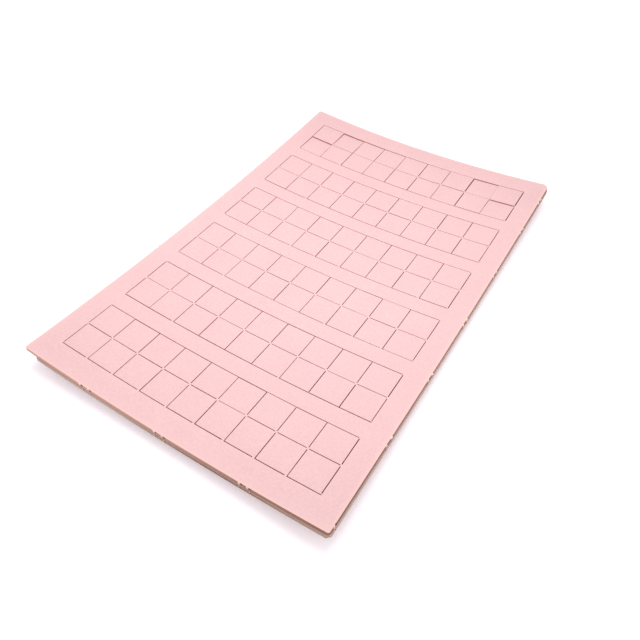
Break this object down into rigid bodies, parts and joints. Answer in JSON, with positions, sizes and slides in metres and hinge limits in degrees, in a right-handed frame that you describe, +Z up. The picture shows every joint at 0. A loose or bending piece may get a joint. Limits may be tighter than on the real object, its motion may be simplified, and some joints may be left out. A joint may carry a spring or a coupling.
{
  "type": "die-cut tile punch-out sheets",
  "caption": "Stack of warped greyboard punch-out sheets faced with plain pink paper, die-cut into strips of square tiles for paper craft and games.",
  "frame": {"origin": "middle of the stack's footprint, on the surface it rests on", "axes": "+Z up, +Y along the sheets' long side, +X across the strips' length"},
  "size_m": [0.1654, 0.2644, 0.0131],
  "materials": {
    "pink_paper": "matt pink lining paper",
    "greyboard": "raw grey-brown chipboard, fibrous cut edges"
  },
  "bodies": {
    "lower_sheet": {"lower_frame": "greyboard", "lower_frame_paper": "pink_paper", "lower_strip_1_tiles": "greyboard", "lower_strip_1_papers": "pink_paper", "lower_strip_2_tiles": "greyboard", "lower_strip_2_papers": "pink_paper", "lower_strip_3_tiles": "greyboard", "lower_strip_3_papers": "pink_paper", "lower_strip_4_tiles": "greyboard", "lower_strip_4_papers": "pink_paper", "lower_strip_5_tiles": "greyboard", "lower_strip_5_papers": "pink_paper", "lower_strip_6_tiles": "greyboard", "lower_strip_6_papers": "pink_paper"},
    "upper_sheet": {"upper_frame": "greyboard", "upper_frame_paper": "pink_paper"},
    "upper_strip_1": {"upper_strip_1_tiles": "greyboard", "upper_strip_1_papers": "pink_paper"},
    "upper_strip_2": {"upper_strip_2_tiles": "greyboard", "upper_strip_2_papers": "pink_paper"},
    "upper_strip_3": {"upper_strip_3_tiles": "greyboard", "upper_strip_3_papers": "pink_paper"},
    "upper_strip_4": {"upper_strip_4_tiles": "greyboard", "upper_strip_4_papers": "pink_paper"},
    "upper_strip_5": {"upper_strip_5_tiles": "greyboard", "upper_strip_5_papers": "pink_paper"},
    "upper_strip_6": {"upper_strip_6_tiles": "greyboard", "upper_strip_6_papers": "pink_paper"},
    "loose_tile_left": {"loose_tile_left": "greyboard", "loose_tile_left_paper": "pink_paper"},
    "loose_tile_back": {"loose_tile_back": "greyboard", "loose_tile_back_paper": "pink_paper"},
    "loose_tile_right": {"loose_tile_right": "greyboard", "loose_tile_right_paper": "pink_paper"}
  },
  "joints": [
    {"name": "upper_sheet_lift", "type": "slide", "parent": "lower_sheet", "child": "upper_sheet", "axis": [0, 0, 1], "range_m": [0, 0.04]},
    {"name": "upper_strip_1_push_out", "type": "slide", "parent": "upper_sheet", "child": "upper_strip_1", "axis": [0, 0, 1], "range_m": [0, 0.015]},
    {"name": "upper_strip_2_push_out", "type": "slide", "parent": "upper_sheet", "child": "upper_strip_2", "axis": [0, 0, 1], "range_m": [0, 0.015]},
    {"name": "upper_strip_3_push_out", "type": "slide", "parent": "upper_sheet", "child": "upper_strip_3", "axis": [0, 0, 1], "range_m": [0, 0.015]},
    {"name": "upper_strip_4_push_out", "type": "slide", "parent": "upper_sheet", "child": "upper_strip_4", "axis": [0, 0, 1], "range_m": [0, 0.015]},
    {"name": "upper_strip_5_push_out", "type": "slide", "parent": "upper_sheet", "child": "upper_strip_5", "axis": [0, 0, 1], "range_m": [0, 0.015]},
    {"name": "upper_strip_6_push_out", "type": "slide", "parent": "upper_sheet", "child": "upper_strip_6", "axis": [0, 0, 1], "range_m": [0, 0.015]},
    {"name": "loose_tile_left_lift", "type": "slide", "parent": "upper_sheet", "child": "loose_tile_left", "axis": [0, 0, 1], "range_m": [0, 0.025]},
    {"name": "loose_tile_back_lift", "type": "slide", "parent": "upper_sheet", "child": "loose_tile_back", "axis": [0, 0, 1], "range_m": [0, 0.025]},
    {"name": "loose_tile_right_lift", "type": "slide", "parent": "upper_sheet", "child": "loose_tile_right", "axis": [0, 0, 1], "range_m": [0, 0.025]}
  ]
}
